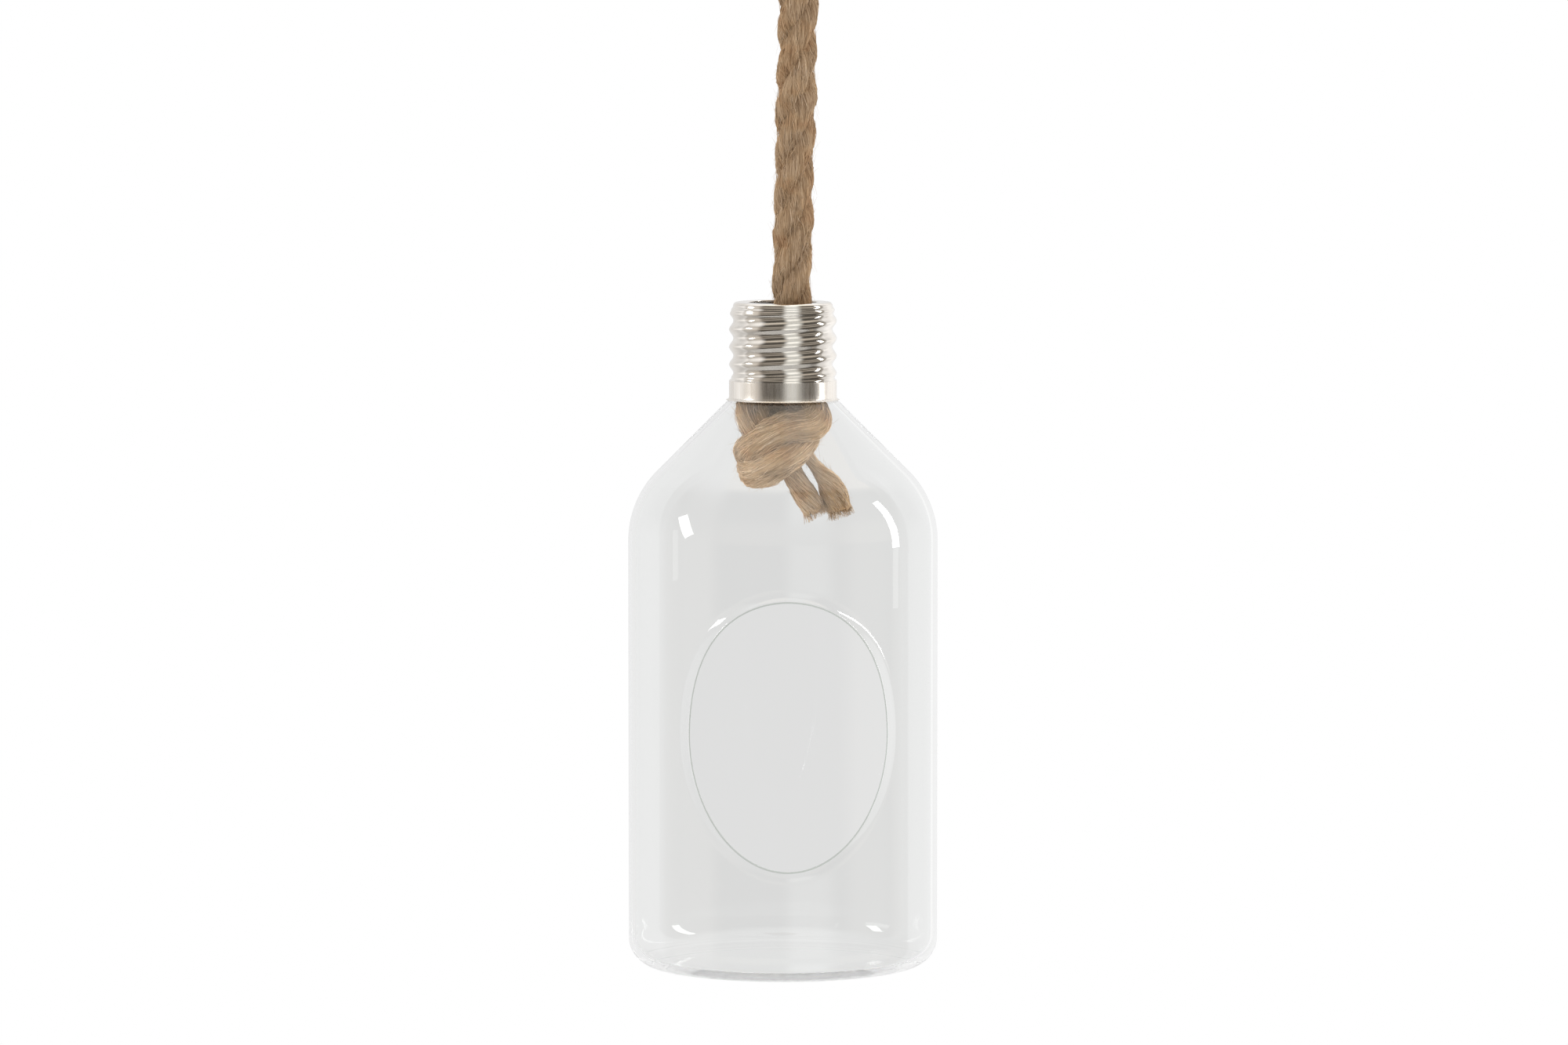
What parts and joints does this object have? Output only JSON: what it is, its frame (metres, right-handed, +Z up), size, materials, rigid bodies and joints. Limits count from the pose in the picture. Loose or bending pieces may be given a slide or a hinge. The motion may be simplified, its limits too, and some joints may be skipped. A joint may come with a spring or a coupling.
{
  "type": "hanging glass bottle planter",
  "caption": "Clear glass bottle with a flared oval opening in its front, a threaded metal cap on its neck and a thick jute rope, knotted inside, that hangs it from a hook.",
  "frame": {"origin": "the point of the rope's eye where a hook bears, at rest, above the middle of the bottle", "axes": "+Z up along the bottle's axis, -Y out of the oval opening, +X to the right as seen from the front"},
  "size_m": [0.112, 0.1151, 0.4668],
  "materials": {
    "clear_glass": "clear polished glass",
    "nickel_sheet": "bright nickel-plated pressed sheet, brushed on the band",
    "cement": "pale hard cement",
    "jute": "natural hairy three-strand jute",
    "twine": "natural jute twine"
  },
  "bodies": {
    "hanging_eye": {"rope_eye": "jute", "eye_seizing": "twine"},
    "bending_rope": {"rope_link": "jute"},
    "rope": {"standing_rope": "jute"},
    "knot": {"stopper_knot": "jute", "tail_strand_1": "jute", "tail_strand_2": "jute", "tail_strand_3": "jute"},
    "bottle": {"glass_bottle": "clear_glass", "threaded_cap": "nickel_sheet", "neck_cement": "cement"}
  },
  "joints": [
    {"name": "swing_front", "type": "hinge", "parent": "hanging_eye", "child": "bending_rope", "pos_m": [0.00534, 0, -0.112], "axis": [1, 0, 0], "range_deg": [-35, 35]},
    {"name": "swing_side", "type": "hinge", "parent": "bending_rope", "child": "rope", "pos_m": [0.00485, 0, -0.134], "axis": [0, 1, 0], "range_deg": [-35, 35]},
    {"name": "rope_twist", "type": "hinge", "parent": "rope", "child": "knot", "pos_m": [0.0026, 0, -0.234], "axis": [0, 0, 1], "continuous": true},
    {"name": "bottle_lift", "type": "slide", "parent": "knot", "child": "bottle", "axis": [0, 0, 1], "range_m": [0, 0.06]}
  ]
}
